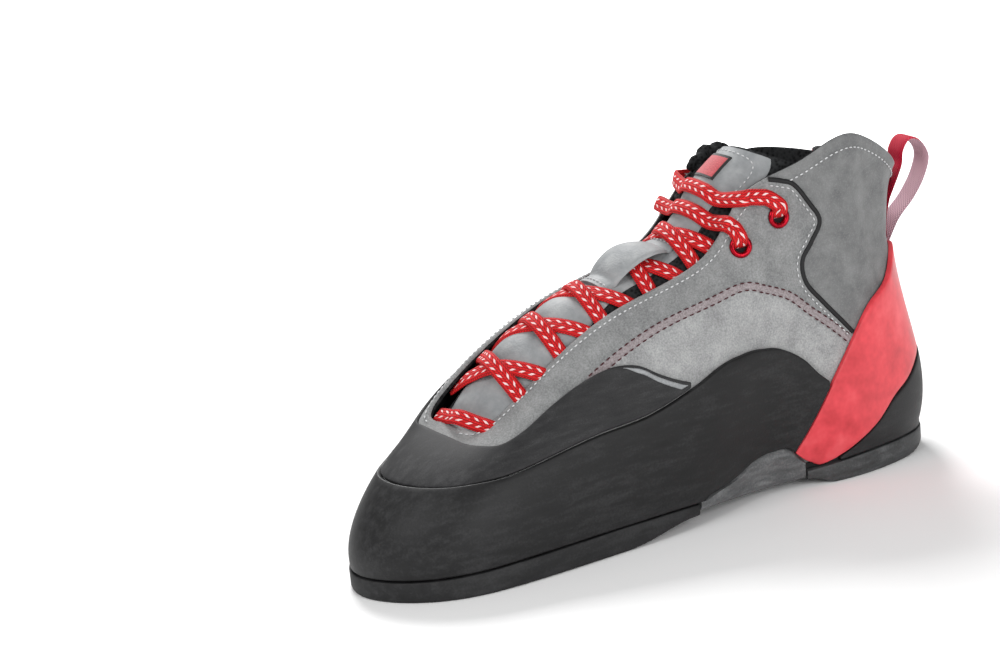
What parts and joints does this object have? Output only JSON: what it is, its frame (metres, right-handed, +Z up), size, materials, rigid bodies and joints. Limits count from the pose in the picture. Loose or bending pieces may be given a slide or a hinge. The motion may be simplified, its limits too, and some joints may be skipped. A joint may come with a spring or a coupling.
{
  "type": "climbing shoe",
  "caption": "Left high-cut lace-up climbing shoe with a smooth rubber sole, rubber rand and toe patch, red heel band, padded tongue, flat laces and two heel pull loops.",
  "frame": {"origin": "on the floor, under the middle of the shoe's bounding box", "axes": "+Y from toe to heel, +X to the outer side of the foot, +Z up; the shoe stands on its sole"},
  "size_m": [0.0894, 0.2742, 0.1386],
  "materials": {
    "upper_suede": "grey suede and split leather panels, matt with a short nap",
    "tongue_leather": "smooth grey microfibre leather, padded",
    "label_fabric": "bare red woven label with a black edge",
    "rand_rubber": "smooth charcoal rubber, matt with a soft sheen",
    "patch_rubber": "dull charcoal rubber with a fine moulded grain",
    "band_rubber": "semi-gloss red rubber band",
    "sole_rubber": "smooth charcoal climbing rubber, scuffed",
    "arch_rubber": "smooth dark grey rubber, a little glossier",
    "midsole_board": "dark stiff board",
    "insole_felt": "dark felt",
    "red_webbing": "red woven webbing outside, grey pink inside",
    "black_webbing": "black woven webbing",
    "lace_cord": "flat woven red lace with white flecks",
    "eyelet_metal": "red anodised eyelets"
  },
  "bodies": {
    "root": {"upper": "upper_suede", "tongue": "tongue_leather", "lace_keeper": "tongue_leather", "tongue_label": "label_fabric", "side_rand": "rand_rubber", "toe_patch": "patch_rubber", "heel_band": "band_rubber", "heel_rand": "rand_rubber", "midsole": "midsole_board", "insole": "insole_felt", "outsole": "sole_rubber", "heel_sole": "sole_rubber", "arch_cradle": "arch_rubber", "pull_loop_outer": "red_webbing", "pull_loop_inner": "black_webbing", "lace_bar_1": "lace_cord", "lace_cross_2": "lace_cord", "lace_cross_3": "lace_cord", "lace_cross_4": "lace_cord", "lace_cross_5": "lace_cord", "lace_cross_6": "lace_cord", "lace_strand_7": "lace_cord", "lace_strand_8": "lace_cord", "eyelet_outer_low": "eyelet_metal", "eyelet_outer_top": "eyelet_metal", "eyelet_inner_low": "eyelet_metal", "eyelet_inner_top": "eyelet_metal"}
  },
  "joints": []
}
